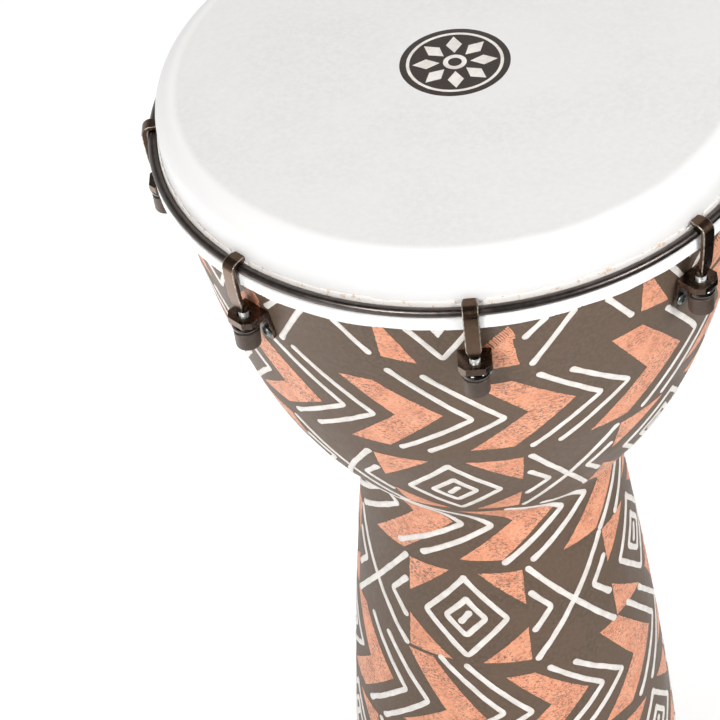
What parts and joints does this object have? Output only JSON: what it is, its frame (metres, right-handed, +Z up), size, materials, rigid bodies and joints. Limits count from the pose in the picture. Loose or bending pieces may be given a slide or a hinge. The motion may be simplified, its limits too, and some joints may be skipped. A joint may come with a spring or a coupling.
{
  "type": "djembe",
  "caption": "Goblet hand drum with a rim-tuned head: hooks over a round hoop, bracket lugs and hex-socket tuning nuts.",
  "frame": {"origin": "centre of the flat bottom of the rubber foot, on the drum's axis", "axes": "+Z up along the drum's axis to the playing surface; lug 1 lies along +X and lug 3 along +Y"},
  "size_m": [0.339, 0.339, 0.61],
  "materials": {
    "painted_shell": "satin lacquer over brushed paint, with orange and off-white strokes",
    "membrane": "matte, slightly translucent drum head",
    "black_steel": "glossy dark nickel coat, rubbed paler along its edges",
    "nut_steel": "matte dark bronze-black coat",
    "lapped_skin": "matte, lapped over the flesh hoop",
    "rubber": "matte moulded",
    "zinc_steel": "bright zinc plate"
  },
  "bodies": {
    "shell_body": {"shell": "painted_shell", "head_skin": "membrane", "foot_ring": "rubber", "bracket_1": "black_steel", "bracket_2": "black_steel", "bracket_3": "black_steel", "bracket_4": "black_steel", "bracket_5": "black_steel", "bracket_6": "black_steel", "bracket_7": "black_steel", "bracket_8": "black_steel", "bracket_screw_1_left": "zinc_steel", "bracket_screw_1_right": "zinc_steel", "bracket_screw_2_left": "zinc_steel", "bracket_screw_2_right": "zinc_steel", "bracket_screw_3_left": "zinc_steel", "bracket_screw_3_right": "zinc_steel", "bracket_screw_4_left": "zinc_steel", "bracket_screw_4_right": "zinc_steel", "bracket_screw_5_left": "zinc_steel", "bracket_screw_5_right": "zinc_steel", "bracket_screw_6_left": "zinc_steel", "bracket_screw_6_right": "zinc_steel", "bracket_screw_7_left": "zinc_steel", "bracket_screw_7_right": "zinc_steel", "bracket_screw_8_left": "zinc_steel", "bracket_screw_8_right": "zinc_steel", "backing_plate_1": "zinc_steel", "backing_plate_2": "zinc_steel", "backing_plate_3": "zinc_steel", "backing_plate_4": "zinc_steel", "backing_plate_5": "zinc_steel", "backing_plate_6": "zinc_steel", "backing_plate_7": "zinc_steel", "backing_plate_8": "zinc_steel"},
    "rim": {"tension_hoop": "black_steel", "flesh_hoop": "lapped_skin", "claw_1": "black_steel", "claw_2": "black_steel", "claw_3": "black_steel", "claw_4": "black_steel", "claw_5": "black_steel", "claw_6": "black_steel", "claw_7": "black_steel", "claw_8": "black_steel"},
    "nut_1": {"tuning_nut_1": "nut_steel"},
    "nut_2": {"tuning_nut_2": "nut_steel"},
    "nut_3": {"tuning_nut_3": "nut_steel"},
    "nut_4": {"tuning_nut_4": "nut_steel"},
    "nut_5": {"tuning_nut_5": "nut_steel"},
    "nut_6": {"tuning_nut_6": "nut_steel"},
    "nut_7": {"tuning_nut_7": "nut_steel"},
    "nut_8": {"tuning_nut_8": "nut_steel"}
  },
  "joints": [
    {"name": "rim_tuning", "type": "slide", "parent": "shell_body", "child": "rim", "axis": [0, 0, -1], "range_m": [-0.0025, 0.004]},
    {"name": "nut_1_turn", "type": "hinge", "parent": "shell_body", "child": "nut_1", "pos_m": [0.1626, 0, 0.5452], "axis": [0, 0, 1], "range_deg": [-900, 1440]},
    {"name": "nut_2_turn", "type": "hinge", "parent": "shell_body", "child": "nut_2", "pos_m": [0.11498, 0.11498, 0.5452], "axis": [0, 0, 1], "range_deg": [-900, 1440]},
    {"name": "nut_3_turn", "type": "hinge", "parent": "shell_body", "child": "nut_3", "pos_m": [0, 0.1626, 0.5452], "axis": [0, 0, 1], "range_deg": [-900, 1440]},
    {"name": "nut_4_turn", "type": "hinge", "parent": "shell_body", "child": "nut_4", "pos_m": [-0.11498, 0.11498, 0.5452], "axis": [0, 0, 1], "range_deg": [-900, 1440]},
    {"name": "nut_5_turn", "type": "hinge", "parent": "shell_body", "child": "nut_5", "pos_m": [-0.1626, 0, 0.5452], "axis": [0, 0, 1], "range_deg": [-900, 1440]},
    {"name": "nut_6_turn", "type": "hinge", "parent": "shell_body", "child": "nut_6", "pos_m": [-0.11498, -0.11498, 0.5452], "axis": [0, 0, 1], "range_deg": [-900, 1440]},
    {"name": "nut_7_turn", "type": "hinge", "parent": "shell_body", "child": "nut_7", "pos_m": [0, -0.1626, 0.5452], "axis": [0, 0, 1], "range_deg": [-900, 1440]},
    {"name": "nut_8_turn", "type": "hinge", "parent": "shell_body", "child": "nut_8", "pos_m": [0.11498, -0.11498, 0.5452], "axis": [0, 0, 1], "range_deg": [-900, 1440]}
  ],
  "couplings": [
    {"joint": "rim_tuning", "follows": "nut_1_turn", "m_per_rad": 0.00015915},
    {"joint": "nut_2_turn", "follows": "nut_1_turn", "ratio": 1},
    {"joint": "nut_3_turn", "follows": "nut_1_turn", "ratio": 1},
    {"joint": "nut_4_turn", "follows": "nut_1_turn", "ratio": 1},
    {"joint": "nut_5_turn", "follows": "nut_1_turn", "ratio": 1},
    {"joint": "nut_6_turn", "follows": "nut_1_turn", "ratio": 1},
    {"joint": "nut_7_turn", "follows": "nut_1_turn", "ratio": 1},
    {"joint": "nut_8_turn", "follows": "nut_1_turn", "ratio": 1}
  ]
}
